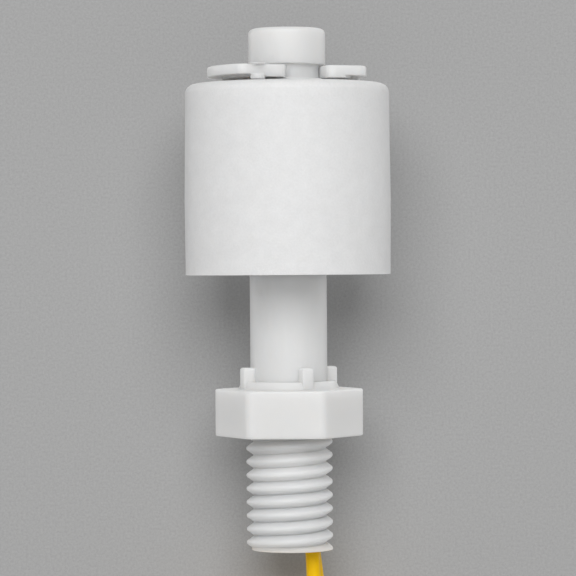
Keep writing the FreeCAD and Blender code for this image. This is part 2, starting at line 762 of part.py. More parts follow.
def make_hank():
    """The outer shape of both leads wound into one flat skein that the tie draws in at the middle."""
    body = new_body("lead_hank", "-hank_down")
    body.setExpression("Placement.Base.x", bound("hank_across"))
    for name, height in (("UpperBend", "hank_bend_distance"), ("LowerBend", "-hank_bend_distance")):
        bend = disc(body, name + "Outline", "XZ_Plane", "hank_bend_dia", up=height)
        raised(body, name, bend, "hank_thickness", centred=True)
    waist = outline(body, "WaistOutline", "XZ_Plane", [
        ("-hank_waist_width / 2", "-hank_bend_distance"),
        ("hank_waist_width / 2", "-hank_bend_distance"),
        ("hank_waist_width / 2", "hank_bend_distance"),
        ("-hank_waist_width / 2", "hank_bend_distance"),
    ])
    raised(body, "Waist", waist, "hank_thickness", centred=True)
    return body


def make_tie():
    """A narrow strap round the skein's waist, with its square head on the front."""
    body = new_body("hank_tie", "-hank_down")
    body.setExpression("Placement.Base.x", bound("hank_across"))
    strap = new_sketch(body, "StrapOutline", "XY_Plane")
    for width, depth in (("(hank_waist_width / 2 + tie_thickness)", "(hank_thickness / 2 + tie_thickness)"),
                         ("(hank_waist_width / 2)", "(hank_thickness / 2)")):
        add_outline(strap, [
            (f"-{width}", f"-{depth}"),
            (width, f"-{depth}"),
            (width, depth),
            (f"-{width}", depth),
        ])
    raised(body, "Strap", strap, "tie_width", centred=True)
    front = "(-hank_thickness / 2)"
    head = outline(body, "HeadOutline", "XY_Plane", [
        ("-tie_head_size / 2", f"{front} - tie_head_reach"),
        ("tie_head_size / 2", f"{front} - tie_head_reach"),
        ("tie_head_size / 2", f"{front} - tie_thickness / 2"),
        ("-tie_head_size / 2", f"{front} - tie_thickness / 2"),
    ])
    raised(body, "Head", head, "tie_head_size", centred=True)
    return body


# ---- potting: fills the bores round everything that is buried in it ----
def make_potting(buried):
    filling = new_body("potting_filling")
    turned(filling, "Filling", [
        ("0", POTTING_TOP),
        ("reed_bore_dia / 2", POTTING_TOP),
        ("reed_bore_dia / 2", LEAD_BORE_TOP),
        ("lead_bore_dia / 2", f"{LEAD_BORE_TOP} - {BORE_STEP}"),
        ("lead_bore_dia / 2", POTTING_LOW),
        ("0", POTTING_LOW),
    ])
    pieces = doc.addObject("Part::Compound", "buried_pieces")
    pieces.Links = buried
    around = doc.addObject("Part::Cut", "potting_around_pieces")
    around.Base = filling
    around.Tool = pieces
    hollow = new_rod("glass_hollow", "glass_dia - glass_wall", "glass_length - 2 * glass_wall",
                     f"{GLASS_LOW} + glass_wall", "-lead_spacing / 2")
    potting = doc.addObject("Part::Cut", "potting")
    potting.Label = "potting"
    potting.Base = around
    potting.Tool = hollow
    return potting


def make_all():
    """Every sub-part, in the order in which the switch is put together."""
    reed = [make_glass(), make_lower_blade(), make_upper_blade()]
    reed.append(new_tube("return_sleeve", "reed_wire_dia", "return_sleeve_wall", "return_sleeve_length",
                         f"{GLASS_TOP} - return_sleeve_length", "lead_spacing / 2"))
    joints = []
    for letter, side in (("a", "-lead_spacing / 2"), ("b", "lead_spacing / 2")):
        joints.append(new_rod(f"solder_joint_{letter}", "lead_dia", "joint_length", LEAD_TOP, side))
        joints.append(new_tube(f"shrink_sleeve_{letter}", "lead_dia", "shrink_wall",
                               "joint_length + shrink_overlap", f"{LEAD_TOP} - shrink_overlap", side))
    leads = [new_cord("lead_a", LEAD_A_ROUTE), new_cord("lead_b", LEAD_B_ROUTE)]
    tails = [new_cord("lead_tail_a", TAIL_A_ROUTE), new_cord("lead_tail_b", TAIL_B_ROUTE)]
    tips = [new_bare_end("conductor_tip_a", TAIL_A_ROUTE), new_bare_end("conductor_tip_b", TAIL_B_ROUTE)]
    outside = [make_stem(), make_clip(), make_float_shell(), make_float_end_cap(), make_magnet()]
    potting = make_potting(reed + joints + leads)
    return outside + reed + joints + [potting] + leads + [make_hank(), make_tie()] + tails + tips


sub_parts = make_all()
doc.recompute()
for thing in doc.Objects:
    if {"Invalid", "Error"} & set(thing.State):
        raise RuntimeError(f"{thing.Label} failed: {thing.State}")
os.makedirs("parts", exist_ok=True)
for sub_part in sub_parts:
    if sub_part.Shape.isNull() or not sub_part.Shape.isValid() or not sub_part.Shape.Solids:
        raise RuntimeError(f"{sub_part.Label} has no valid solid")
for sub_part in sub_parts:
    sub_part.Shape.exportStep(f"parts/{sub_part.Label}.step")
    print(f"{sub_part.Label}: {len(sub_part.Shape.Solids)} solid, {sub_part.Shape.Volume:.1f} mm3")
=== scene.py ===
"""Finishes, leads, tie, light and camera for a small vertical float level switch."""

import math

import bmesh
import bpy
from mathutils import Matrix, Vector


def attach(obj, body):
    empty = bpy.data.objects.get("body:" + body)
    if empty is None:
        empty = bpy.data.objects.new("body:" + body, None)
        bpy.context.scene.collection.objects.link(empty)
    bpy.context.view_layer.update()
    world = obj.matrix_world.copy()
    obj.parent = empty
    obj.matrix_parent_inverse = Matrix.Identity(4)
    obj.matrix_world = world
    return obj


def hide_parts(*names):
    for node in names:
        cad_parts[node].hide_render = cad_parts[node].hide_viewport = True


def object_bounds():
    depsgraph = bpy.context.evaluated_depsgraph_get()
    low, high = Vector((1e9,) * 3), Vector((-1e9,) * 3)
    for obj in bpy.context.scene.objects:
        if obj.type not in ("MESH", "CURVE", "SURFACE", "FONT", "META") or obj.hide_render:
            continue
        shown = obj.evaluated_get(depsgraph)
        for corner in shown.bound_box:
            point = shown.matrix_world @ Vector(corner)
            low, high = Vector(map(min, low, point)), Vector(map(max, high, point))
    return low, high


MM = 0.001

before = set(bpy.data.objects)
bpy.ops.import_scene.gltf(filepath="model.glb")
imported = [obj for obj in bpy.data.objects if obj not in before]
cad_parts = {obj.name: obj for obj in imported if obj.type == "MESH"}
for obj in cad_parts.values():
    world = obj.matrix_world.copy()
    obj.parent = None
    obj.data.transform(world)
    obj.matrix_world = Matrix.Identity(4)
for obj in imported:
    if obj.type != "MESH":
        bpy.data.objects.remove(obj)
cad_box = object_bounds()


# ---- nodes ----
def set_input(tree, socket, value):
    """Feed a node's input from another node's output, or give it a plain value."""
    if isinstance(value, bpy.types.NodeSocket):
        tree.links.new(value, socket)
    else:
        socket.default_value = value


def math_node(tree, operation, first, second):
    """A Math node's result. Each of its two inputs is a socket or a number."""
    node = tree.nodes.new("ShaderNodeMath")
    node.operation = operation
    set_input(tree, node.inputs[0], first)
    set_input(tree, node.inputs[1], second)
    return node.outputs[0]


def noise(tree, place, scale, detail, roughness=0.5):
    """A noise pattern's value at a place; scale is a socket or a number, in waves per metre."""
    node = tree.nodes.new("ShaderNodeTexNoise")
    set_input(tree, node.inputs["Vector"], place)
    set_input(tree, node.inputs["Scale"], scale)
    node.inputs["Detail"].default_value = detail
    node.inputs["Roughness"].default_value = roughness
    return node.outputs["Fac"]


def fade_out(tree, value, start, end):
    """1 while the value is below start, eased down to 0 at end."""
    node = tree.nodes.new("ShaderNodeMapRange")
    node.interpolation_type = "SMOOTHSTEP"
    limits = {"Value": value, "From Min": start, "From Max": end, "To Min": 1.0, "To Max": 0.0}
    for name, limit in limits.items():
        set_input(tree, node.inputs[name], limit)
    return node.outputs["Result"]


def shader_node(tree, kind, **values):
    """A shader of one kind, its inputs fed from sockets or plain values, and its output."""
    node = tree.nodes.new(f"ShaderNode{kind}")
    for name, value in values.items():
        set_input(tree, node.inputs[name], value)
    return node.outputs[0]


def mix_shaders(tree, share, first, second):
    """One shader that gives way to another by a share."""
    node = tree.nodes.new("ShaderNodeMixShader")
    for socket, value in zip(node.inputs, (share, first, second)):
        tree.links.new(value, socket)
    return node.outputs["Shader"]


def grey(tone):
    """A neutral colour."""
    return (tone, tone, tone, 1.0)


def new_group(name, inputs, outputs):
    """An empty shader node group. Inputs are (name, socket type, default), outputs (name, socket type)."""
    group = bpy.data.node_groups.new(name, "ShaderNodeTree")
    for label, kind, default in inputs:
        group.interface.new_socket(label, in_out="INPUT", socket_type=kind).default_value = default
    for label, kind in outputs:
        group.interface.new_socket(label, in_out="OUTPUT", socket_type=kind)
    return group, group.nodes.new("NodeGroupInput"), group.nodes.new("NodeGroupOutput")


# ---- finishes ----
SPECK_CELLS = 260.0  # cells per metre, of which a few hold a speck
SPECK_RADIUS = 0.035  # as a share of its cell
SPECK_DARKNESS = 0.3
GRAIN_IN_ROUGHNESS = 0.25
CLOUD_IN_HEIGHT = 0.35


def make_moulded_surface():
    """The surface that all finishes share: cloudy tone, fine grain and a few specks."""
    group, given, result = new_group("moulded_surface", [
        ("Colour", "NodeSocketColor", grey(0.8)),
        ("Clouds per Metre", "NodeSocketFloat", 400.0),
        ("Cloud Depth", "NodeSocketFloat", 0.04),
        ("Grains per Metre", "NodeSocketFloat", 6000.0),
        ("Grain Depth", "NodeSocketFloat", 0.03),
        ("Speck Share", "NodeSocketFloat", 0.0),
        ("Roughness", "NodeSocketFloat", 0.5),
    ], [("Colour", "NodeSocketColor"), ("Roughness", "NodeSocketFloat"), ("Height", "NodeSocketFloat")])
    place = group.nodes.new("ShaderNodeTexCoord").outputs["Object"]
    clouds = noise(group, place, given.outputs["Clouds per Metre"], detail=3.0)
    cloud = math_node(group, "SUBTRACT", clouds, 0.5)
    grains = noise(group, place, given.outputs["Grains per Metre"], detail=2.0, roughness=0.6)
    grain = math_node(group, "SUBTRACT", grains, 0.5)
    tone = math_node(group, "ADD", math_node(group, "MULTIPLY", cloud, given.outputs["Cloud Depth"]),
                     math_node(group, "MULTIPLY", grain, given.outputs["Grain Depth"]))
    level = math_node(group, "ADD", math_node(group, "MULTIPLY", tone, 2.0), 1.0)
    cells = group.nodes.new("ShaderNodeTexVoronoi")
    cells.inputs["Scale"].default_value = SPECK_CELLS
    group.links.new(place, cells.inputs["Vector"])
    near = math_node(group, "LESS_THAN", cells.outputs["Distance"], SPECK_RADIUS)
    lot = group.nodes.new("ShaderNodeSeparateColor")
    group.links.new(cells.outputs["Color"], lot.inputs["Color"])
    chosen = math_node(group, "LESS_THAN", lot.outputs["Red"], given.outputs["Speck Share"])
    speck = math_node(group, "MULTIPLY", math_node(group, "MULTIPLY", near, chosen), SPECK_DARKNESS)
    coloured = group.nodes.new("ShaderNodeVectorMath")
    coloured.operation = "SCALE"
    group.links.new(given.outputs["Colour"], coloured.inputs[0])
    group.links.new(math_node(group, "SUBTRACT", level, speck), coloured.inputs["Scale"])
    group.links.new(coloured.outputs["Vector"], result.inputs["Colour"])
    rough = math_node(group, "ADD", given.outputs["Roughness"],
                      math_node(group, "MULTIPLY", grain, GRAIN_IN_ROUGHNESS))
    group.links.new(rough, result.inputs["Roughness"])
    height = math_node(group, "ADD", math_node(group, "MULTIPLY", cloud, CLOUD_IN_HEIGHT), grain)
    group.links.new(height, result.inputs["Height"])
    return group


moulded_surface = make_moulded_surface()


def new_finish(name, surface_values):
    """A material with the moulded surface in its shader: the material, its shader and the surface's node."""
    material = bpy.data.materials.new(name)
    material.use_nodes = True
    tree = material.node_tree
    shader = tree.nodes["Principled BSDF"]
    surface = tree.nodes.new("ShaderNodeGroup")
    surface.node_tree = moulded_surface
    for label, value in surface_values.items():
        surface.inputs[label].default_value = value
    tree.links.new(surface.outputs["Colour"], shader.inputs["Base Color"])
    tree.links.new(surface.outputs["Roughness"], shader.inputs["Roughness"])
    return material, shader, surface


def moulded_plastic(name, surface_values, relief, relief_depth, subsurface, reach, specular=0.4,
                    reach_by_colour=(1.0, 0.95, 0.9)):
    """A matte plastic with a slight relief. Relief depth and light's reach inside it are in metres."""
    material, shader, surface = new_finish(name, surface_values)
    tree = material.node_tree
    bump = tree.nodes.new("ShaderNodeBump")
    bump.inputs["Strength"].default_value = relief
    bump.inputs["Distance"].default_value = relief_depth
    tree.links.new(surface.outputs["Height"], bump.inputs["Height"])
    tree.links.new(bump.outputs["Normal"], shader.inputs["Normal"])
    shader.inputs["Specular IOR Level"].default_value = specular
    shader.inputs["Subsurface Weight"].default_value = subsurface
    shader.inputs["Subsurface Radius"].default_value = reach_by_colour
    shader.inputs["Subsurface Scale"].default_value = reach
    return material


def grained_finish(name, colour, roughness, metallic=0.0, grains=3000.0, grain_depth=0.1, alpha=1.0):
    """A finish for a metal, glass, resin or sleeve, with a fine grain in its tone."""
    material, shader, _ = new_finish(name, {"Colour": colour, "Grains per Metre": grains,
                                            "Grain Depth": grain_depth, "Roughness": roughness})
    shader.inputs["Metallic"].default_value = metallic
    shader.inputs["Alpha"].default_value = alpha
    return material


def give(node, material):
    """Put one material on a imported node."""
    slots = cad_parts[node].data.materials
    slots.clear()
    slots.append(material)


stem_polypropylene = moulded_plastic(
    "stem_polypropylene",
    {"Colour": (0.76, 0.76, 0.755, 1), "Clouds per Metre": 350.0, "Cloud Depth": 0.02,
     "Grains per Metre": 5000.0, "Grain Depth": 0.01, "Roughness": 0.42},
    relief=0.12, relief_depth=0.06 * MM, subsurface=1.0, reach=3.0 * MM)
clip_polypropylene = moulded_plastic(
    "clip_polypropylene",
    {"Colour": (0.79, 0.79, 0.785, 1), "Clouds per Metre": 500.0, "Cloud Depth": 0.02,
     "Grains per Metre": 5000.0, "Grain Depth": 0.01, "Roughness": 0.4},
    relief=0.1, relief_depth=0.05 * MM, subsurface=1.0, reach=2.5 * MM)
float_polypropylene = moulded_plastic(
    "float_polypropylene",
    {"Colour": grey(0.79), "Clouds per Metre": 700.0, "Cloud Depth": 0.05, "Grains per Metre": 4200.0,
     "Grain Depth": 0.06, "Speck Share": 0.03, "Roughness": 0.6},
    relief=0.35, relief_depth=0.08 * MM, subsurface=0.5, reach=1.6 * MM, specular=0.3)
give("stem_body", stem_polypropylene)
give("retaining_clip", clip_polypropylene)
give("float_shell", float_polypropylene)
give("float_end_cap", float_polypropylene)
give("ring_magnet", grained_finish("sintered_ferrite", (0.05, 0.05, 0.055, 1), 0.6))
give("reed_capsule", grained_finish("reed_glass", (0.7, 0.82, 0.76, 1), 0.08, alpha=0.4))
plated_wire = grained_finish("plated_wire", (0.7, 0.7, 0.68, 1), 0.3, metallic=1.0)
give("reed_blade_lower", plated_wire)
give("reed_blade_upper", plated_wire)
give("return_sleeve", grained_finish("clear_sleeve", (0.85, 0.85, 0.82, 1), 0.35, alpha=0.6))
solder = grained_finish("solder", (0.62, 0.62, 0.64, 1), 0.25, metallic=1.0, grains=2500.0)
heat_shrink = grained_finish("heat_shrink", grey(0.02), 0.45)
for letter in "ab":
    give(f"solder_joint_{letter}", solder)
    give(f"shrink_sleeve_{letter}", heat_shrink)
give("potting", grained_finish("cast_epoxy", (0.5, 0.48, 0.42, 1), 0.3, grains=900.0, grain_depth=0.15))
lead_insulation = moulded_plastic(
    "lead_insulation",
    {"Colour": (0.9, 0.54, 0.0, 1), "Clouds per Metre": 300.0, "Cloud Depth": 0.08,
     "Grains per Metre": 3500.0, "Grain Depth": 0.06, "Roughness": 0.42},
    relief=0.15, relief_depth=0.05 * MM, subsurface=0.15, reach=0.4 * MM, specular=0.2,
    reach_by_colour=(1.0, 0.5, 0.1))


# ---- leads: sizes and routes are the part's own, in millimetres ----
LEAD_DIAMETER = 1.6
HANK_CENTRE = Vector((-3.4, 0.0, -41.0))
HANK_ENTRY = -27.38
HANK_EXIT = -54.62
OUTER_RUN = 6.45  # from the hank's middle to each run, clear of the tie
INNER_RUN = 4.8
RUN_HEIGHTS = (8.1, 5.0, 1.5, -1.5, -5.0, -8.1)  # of a run's control points, from the hank's middle
LAYERS = (0.83, 2.5)  # depths at which one lead's turns lie
WAIST_PINCH = 4.0  # how far the tie draws each run in
WAIST_HALF = 1.5  # the pinch is whole up to this height from the tie's middle
WAIST_FADE = 7.0  # and gone this much further on
BEND_DISTANCE = 10.8  # from the hank's middle to the centre of each bend
BEND_POINTS = 4
ROUTES = {
    "a": [(0, -1.05, 8.27), (0, -1.05, 1.8), (1.25, -0.92, -4.8), (2.45, -0.78, -11.2), (2.66, -0.8, -17.2),
          (2.86, -0.83, -22.6), (3.05, -0.83, HANK_ENTRY)],
    "b": [(0, 1.05, 8.27), (0, 1.05, 1.8), (1.2, 0.95, -4.8), (2.3, 0.86, -10.9), (2.95, 0.95, -15.6),
          (3.45, 0.95, -20.4), (3.35, 0.88, -24.6), (3.05, 0.83, HANK_ENTRY)],
}
TAILS = {
    "a": [(3.05, -2.45, HANK_EXIT), (2.95, -2.35, -59.0), (2.5, -1.9, -63.4)],
    "b": [(3.05, 2.45, HANK_EXIT), (3.25, 2.4, -58.6), (3.9, 2.0, -62.2)],
}


def between(low, high, share):
    """A value that goes from low to high, with a soft start and end, as the share goes from 0 to 1."""
    share = min(max(share, 0.0), 1.0)
    return low + (high - low) * share * share * (3.0 - 2.0 * share)


def pinch(height):
    """How far a run is drawn in at a height above or below the tie."""
    return between(WAIST_PINCH, 0.0, (abs(height) - WAIST_HALF) / WAIST_FADE)


def side_points(side, run):
    """Control points of one run, as (across, height). The right run, side 1, goes down, the left one up."""
    heights = RUN_HEIGHTS if side == 1 else reversed(RUN_HEIGHTS)
    return [(side * (run - pinch(height)), height) for height in heights]


def bend_points(upper, start, end):
    """Control points round one bend, outside its curve, so that the spline has the bend's own radius."""
    points = []
    for index in range(BEND_POINTS):
        share = (index + 0.5) / BEND_POINTS
        radius = between(start, end, share) / math.cos(math.pi / BEND_POINTS / 2)
        across = radius * math.cos(math.pi * share)
        rise = radius * math.sin(math.pi * share)
        points.append((-across, BEND_DISTANCE + rise) if upper else (across, -BEND_DISTANCE - rise))
    return points


def hank_points(front):
    """One lead's turns in the hank: down the right side, round below, up the left and round above."""
    inner, outer = LAYERS
    turns = [(OUTER_RUN, inner), (INNER_RUN, inner), (INNER_RUN, outer), (OUTER_RUN, outer)]
    points = []
    for (run, layer), (next_run, next_layer) in zip(turns, turns[1:]):
        turn = side_points(1, run) + bend_points(False, run, run) + side_points(-1, run)
        points += [(across, layer, height) for across, height in turn]
        for index, (across, height) in enumerate(bend_points(True, run, next_run)):
            points.append((across, between(layer, next_layer, (index + 0.5) / BEND_POINTS), height))
    run, layer = turns[-1]
    points += [(across, layer, height) for across, height in side_points(1, run)]
    return [HANK_CENTRE + Vector((across, front * depth, height)) for across, depth, height in points]


def add_lead_curve(name, points):
    """A round lead along its control points."""
    curve = bpy.data.curves.new(name, "CURVE")
    curve.dimensions = "3D"
    curve.resolution_u = 8
    curve.bevel_depth = LEAD_DIAMETER / 2 * MM
    curve.bevel_resolution = 6
    curve.use_fill_caps = True
    spline = curve.splines.new("NURBS")
    spline.points.add(len(points) - 1)
    for target, point in zip(spline.points, points):
        target.co = (*(point * MM), 1.0)
    spline.order_u = 3
    spline.use_endpoint_u = True
    lead = bpy.data.objects.new(name, curve)
    bpy.context.scene.collection.objects.link(lead)
    lead.data.materials.append(lead_insulation)
    return lead


def make_lead(letter, front):
    """One lead, from its joint inside the stem, through the hank on its own side, to its bare end."""
    route = [Vector(point) for point in ROUTES[letter]]
    tail = [Vector(point) for point in TAILS[letter]]
    lead = add_lead_curve(f"insulated_lead_{letter}", route + hank_points(front) + tail)
    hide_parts(f"lead_{letter}", "lead_hank", f"lead_tail_{letter}")
    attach(lead, "stem")
    return lead


# ---- bare ends, in millimetres ----
CONDUCTOR_DIAMETER = 0.76
CONDUCTOR_LENGTH = 5.0
STRANDS = 7
STRAND_RADIUS = CONDUCTOR_DIAMETER / 6
STRAND_LAY = 7.5  # the length in which an outer strand goes once round
STRAND_ROOT = 0.3  # how far back inside the insulation each strand starts
STRAND_STAGGER = 0.09  # the step by which the strands' cut ends differ
STRAND_STEPS = 28
STRAND_SIDES = 10
SHARP_ANGLE = math.radians(35.0)


def add_piece(name, shape, material):
    """A bmesh, in millimetres, as a smooth-shaded object with its sharp edges kept."""
    bmesh.ops.recalc_face_normals(shape, faces=shape.faces)
    shape.transform(Matrix.Scale(MM, 4))
    mesh = bpy.data.meshes.new(name)
    shape.to_mesh(mesh)
    shape.free()
    mesh.polygons.foreach_set("use_smooth", [True] * len(mesh.polygons))
    mesh.set_sharp_from_angle(angle=SHARP_ANGLE)
    mesh.materials.append(material)
    piece = bpy.data.objects.new(name, mesh)
    bpy.context.scene.collection.objects.link(piece)
    return piece


def bridge(shape, ring, following):
    """A band of faces between two rings with as many points."""
    for index in range(len(ring)):
        after = (index + 1) % len(ring)
        shape.faces.new((ring[index], ring[after], following[after], following[index]))


def skin(shape, rings):
    """Join rings of points into a closed tube with flat ends."""
    loops = [[shape.verts.new(point) for point in ring] for ring in rings]
    for ring, following in zip(loops, loops[1:]):
        bridge(shape, ring, following)
    shape.faces.new(reversed(loops[0]))
    shape.faces.new(loops[-1])


def make_conductor(letter, material):
    """Tinned strands, six twisted round one, carried on from the end of a lead's tail."""
    before, end = (Vector(point) for point in TAILS[letter][-2:])
    along = (end - before).normalized()
    aside = along.orthogonal().normalized()
    up = along.cross(aside)

    def sideways(angle):
        """The direction at an angle round the lead."""
        return aside * math.cos(angle) + up * math.sin(angle)

    shape = bmesh.new()
    for strand in range(STRANDS):
        distance = 2.0 * STRAND_RADIUS if strand else 0.0
        length = CONDUCTOR_LENGTH - STRAND_STAGGER * (strand * 3 % 5)
        rings = []
        for step in range(STRAND_STEPS + 1):
            reach = -STRAND_ROOT + (length + STRAND_ROOT) * step / STRAND_STEPS
            turn = math.tau * (reach / STRAND_LAY + strand / (STRANDS - 1))
            centre = end + along * reach + sideways(turn) * distance
            rings.append([centre + sideways(math.tau * side / STRAND_SIDES) * STRAND_RADIUS
                          for side in range(STRAND_SIDES)])
        skin(shape, rings)
    conductor = add_piece(f"bare_conductor_{letter}", shape, material)
    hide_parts(f"conductor_tip_{letter}")
    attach(conductor, "stem")
    return conductor


# ---- tie, in millimetres ----
STRAP_REACH = 3.42  # from the hank's middle to the strap's inside
STRAP_CORNER = 1.15
STRAP_THICKNESS = 0.85
STRAP_HALF_WIDTH = 1.25
STRAP_EDGE = 0.1
STRAP_START = 0.3  # across; the strap's root is inside the head
RAIL_WIDTH = 0.45
RAIL_RISE = 0.2
RAIL_SLOPE = 0.15
TOOTH_PITCH = 0.36
TOOTH_DEPTH = 0.14
TAIL_REACH = 3.5
TAIL_RISE = 0.02  # how far the trimmed tail stands off further at each half tooth
CORNER_STEPS = 8
HEAD_HALF = 1.7
HEAD_BACK = 3.5
HEAD_FRONT = 5.95
HEAD_EDGE = 0.22
HEAD_CORNER = 0.2
SLOT_LIFT = 4.32  # from the hank's middle to the strap's inside where it runs through the head
SLOT_HALF = 1.32
SLOT_PLAY = (0.04, 0.12)  # room behind and in front of the strap
WINDOW_FRAME = 0.95
WINDOW_SLOPE = 0.08
WINDOW_DEPTH = 0.3
LEAVE_DEPTH = 2.0  # where the strap leaves its left side to curve into the slot
LEAVE_PULL = 1.6  # how far the curve holds on in the side's direction
ENTER_GAP = 0.05  # where the curve ends, before the slot's mouth
ENTER_PULL = 0.95  # how far before that it has the slot's direction
SWEEP_STEPS = 10


def corner_points(centre, start):
    """A quarter turn of the strap's inside round one corner, from an angle in degrees."""
    angles = [math.radians(start + 90.0 * step / CORNER_STEPS) for step in range(CORNER_STEPS + 1)]
    return [centre + Vector((math.cos(angle), math.sin(angle))) * STRAP_CORNER for angle in angles]


def swept_points(start, first, second, end):
    """Points along a cubic curve, without its start."""
    points = []
    for step in range(1, SWEEP_STEPS + 1):
        t = step / SWEEP_STEPS
        u = 1.0 - t
        points.append(start * u**3 + first * 3 * u * u * t + second * 3 * u * t * t + end * t**3)
    return points


def strap_path():
    """The strap's inside, seen from above: out of the head, round the hank, through the slot and on."""
    flat = STRAP_REACH - STRAP_CORNER
    path = [Vector((STRAP_START, -STRAP_REACH))]
    for across, depth, start in ((flat, -flat, -90.0), (flat, flat, 0.0), (-flat, flat, 90.0)):
        path += corner_points(Vector((across, depth)), start)
    leave = Vector((-STRAP_REACH, -LEAVE_DEPTH))
    enter = Vector((-HEAD_HALF - ENTER_GAP, -SLOT_LIFT))
    path.append(leave)
    path += swept_points(leave, leave - Vector((0.0, LEAVE_PULL)), enter - Vector((ENTER_PULL, 0.0)), enter)
    path.append(Vector((HEAD_HALF, -SLOT_LIFT)))
    teeth = int((TAIL_REACH - HEAD_HALF) / TOOTH_PITCH * 2)
    path += [Vector((HEAD_HALF + TOOTH_PITCH / 2 * (tooth + 1), -SLOT_LIFT - TAIL_RISE * tooth))
             for tooth in range(teeth)]
    return path, teeth


def mirrored(half):
    """The upper half of an outline and its mirror image below, as one closed outline."""
    return half + [(depth, -height) for depth, height in reversed(half)]


def strap_ring(place, outwards, tooth):
    """The strap's section: flat inside, with a raised rail along each outer edge."""
    low = TOOTH_DEPTH if tooth else 0.0
    top = STRAP_THICKNESS
    wide = STRAP_HALF_WIDTH
    section = mirrored([(low, wide - STRAP_EDGE), (low + STRAP_EDGE, wide), (top - STRAP_EDGE, wide),
                        (top, wide - STRAP_EDGE), (top, wide - RAIL_WIDTH),
                        (top - RAIL_RISE, wide - RAIL_WIDTH - RAIL_SLOPE)])
    ring = []
    for lift, height in section:
        flat = place + outwards * lift
        ring.append(HANK_CENTRE + Vector((flat.x, flat.y, height)))
    return ring


def head_rings():
    """The head's outside and its slot, one pair of outlines at each station from left to right. The slot's
    four corners are doubled, so that it has as many points as the outside."""
    stations = [(-HEAD_HALF, HEAD_EDGE), (-HEAD_HALF + HEAD_EDGE, 0.0), (HEAD_HALF - HEAD_EDGE, 0.0),
                (HEAD_HALF, HEAD_EDGE)]
    slot_near = SLOT_LIFT - SLOT_PLAY[0]
    slot_far = SLOT_LIFT + STRAP_THICKNESS + SLOT_PLAY[1]
    inside = mirrored([(slot_near, SLOT_HALF)] * 2 + [(slot_far, SLOT_HALF)] * 2)
    rings = []
    for across, inset in stations:
        near, far, side = HEAD_BACK + inset, HEAD_FRONT - inset, HEAD_HALF - inset
        outside = mirrored([(near, side - HEAD_CORNER), (near + HEAD_CORNER, side), (far - HEAD_CORNER, side),
                            (far, side - HEAD_CORNER)])
        rings.append([[HANK_CENTRE + Vector((across, -depth, height)) for depth, height in ring]
                      for ring in (outside, inside)])
    return rings


def add_head(shape):
    """The tie's head: a softened block with a slot right through it and a small window in its front."""
    loops = [[[shape.verts.new(point) for point in ring] for ring in pair] for pair in head_rings()]
    for (outside, inside), (next_outside, next_inside) in zip(loops, loops[1:]):
        bridge(shape, outside, next_outside)
        bridge(shape, next_inside, inside)
    for outside, inside in (loops[0], loops[-1]):
        bridge(shape, inside, outside)
    bmesh.ops.remove_doubles(shape, verts=shape.verts, dist=1e-5)
    bmesh.ops.recalc_face_normals(shape, faces=shape.faces)
    front = min(shape.faces, key=lambda face: face.calc_center_median().y)
    bmesh.ops.inset_individual(shape, faces=[front], thickness=WINDOW_FRAME, depth=0.0)
    bmesh.ops.inset_individual(shape, faces=[front], thickness=WINDOW_SLOPE, depth=-WINDOW_DEPTH)


def make_tie(material):
    """A narrow nylon tie round the hank's waist: strap, head and trimmed end."""
    shape = bmesh.new()
    path, teeth = strap_path()
    rings = []
    for index, place in enumerate(path):
        before = path[max(index - 1, 0)]
        after = path[min(index + 1, len(path) - 1)]
        heading = (after - before).normalized()
        tooth = index >= len(path) - teeth and (len(path) - index) % 2 == 0
        rings.append(strap_ring(place, Vector((heading.y, -heading.x)), tooth))
    skin(shape, rings)
    add_head(shape)
    tie = add_piece("nylon_tie", shape, material)
    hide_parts("hank_tie")
    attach(tie, "stem")
    return tie


tinned_copper = grained_finish("tinned_copper", (0.72, 0.7, 0.68, 1), 0.3, metallic=1.0)
nylon = moulded_plastic("tie_nylon", {"Colour": (0.78, 0.77, 0.72, 1), "Roughness": 0.4},
                        relief=0.1, relief_depth=0.05 * MM, subsurface=0.4, reach=0.8 * MM)
leads = {"a": make_lead("a", -1), "b": make_lead("b", 1)}
pieces_on = {letter: [make_conductor(letter, tinned_copper)] for letter in leads}
pieces_on["a"].append(make_tie(nylon))


# ---- backdrop and floor, in metres ----
BACKGROUND = 0.384  # the tone that the camera sees behind the object
PAPER_RADIUS = 0.064
PAPER_FADE = 0.047  # the radius from which the paper fades out towards its rim
PAPER_PLACE = (0.0, 0.0113, 0.0164)
PAPER_LEAN = 6.5  # degrees; it stands closer behind the thread than behind the float's top
PAPER_GRAINS = 3600.0  # per metre
PAPER_GRAIN_DEPTH = 0.3
FLOOR_RADIUS = 4.0
FLOOR_GAP = 0.004  # below the leads' lowest end
FLOOR_BOUNCE = 0.75  # what the floor gives back to the object
FLOOR_SHADE = 0.14  # how much of the floor's seen tone comes from the light that falls on it
FLOOR_LIGHT = 0.85  # the light that falls on the floor round the object
DISC_SIDES = 96


def seen_directly(tree):
    """1 for rays that show a surface to the camera, straight or through gloss or glass."""
    path = tree.nodes.new("ShaderNodeLightPath")
    through = math_node(tree, "MAXIMUM", path.outputs["Is Glossy Ray"], path.outputs["Is Transmission Ray"])
    return math_node(tree, "MAXIMUM", path.outputs["Is Camera Ray"], through)


def backfacing(tree):
    """1 on a surface's back."""
    return tree.nodes.new("ShaderNodeNewGeometry").outputs["Backfacing"]


def blank_material(name):
    """A material with nothing in it."""
    material = bpy.data.materials.new(name)
    material.use_nodes = True
    material.node_tree.nodes.clear()
    return material


def show(tree, shader, output="OutputMaterial"):
    """Make a shader what the material or the world shows."""
    tree.links.new(shader, tree.nodes.new(f"ShaderNode{output}").inputs["Surface"])


